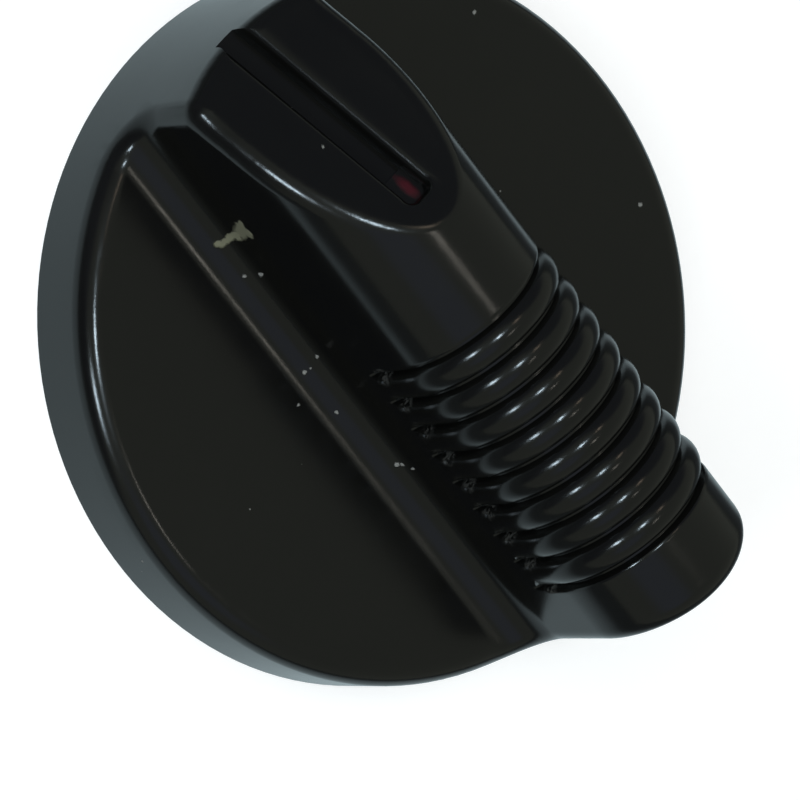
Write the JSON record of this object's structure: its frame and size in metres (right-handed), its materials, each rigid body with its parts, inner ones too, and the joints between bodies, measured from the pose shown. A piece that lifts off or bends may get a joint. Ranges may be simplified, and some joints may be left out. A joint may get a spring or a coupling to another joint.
{
  "type": "control knob",
  "caption": "Skirted control knob for a slow cooker: a round disc crossed by a full-round ribbed grip bar with a dished pointer facet, and a hub with a D socket underneath.",
  "frame": {"origin": "centre of the bottom rim of the skirt, in the plane that faces the appliance panel", "axes": "+Z along the shaft axis out of the front face, +Y towards the pointer end of the grip bar, X across the bar"},
  "size_m": [0.045, 0.045, 0.0192],
  "materials": {
    "black_phenolic": "glossy black moulding, dusty in the corners",
    "spring_steel": "plain rolled spring strip",
    "red_paint": "worn dark red fill paint"
  },
  "bodies": {
    "root": {"knob_body": "black_phenolic", "shaft_spring": "spring_steel", "indicator_paint": "red_paint"}
  },
  "joints": []
}
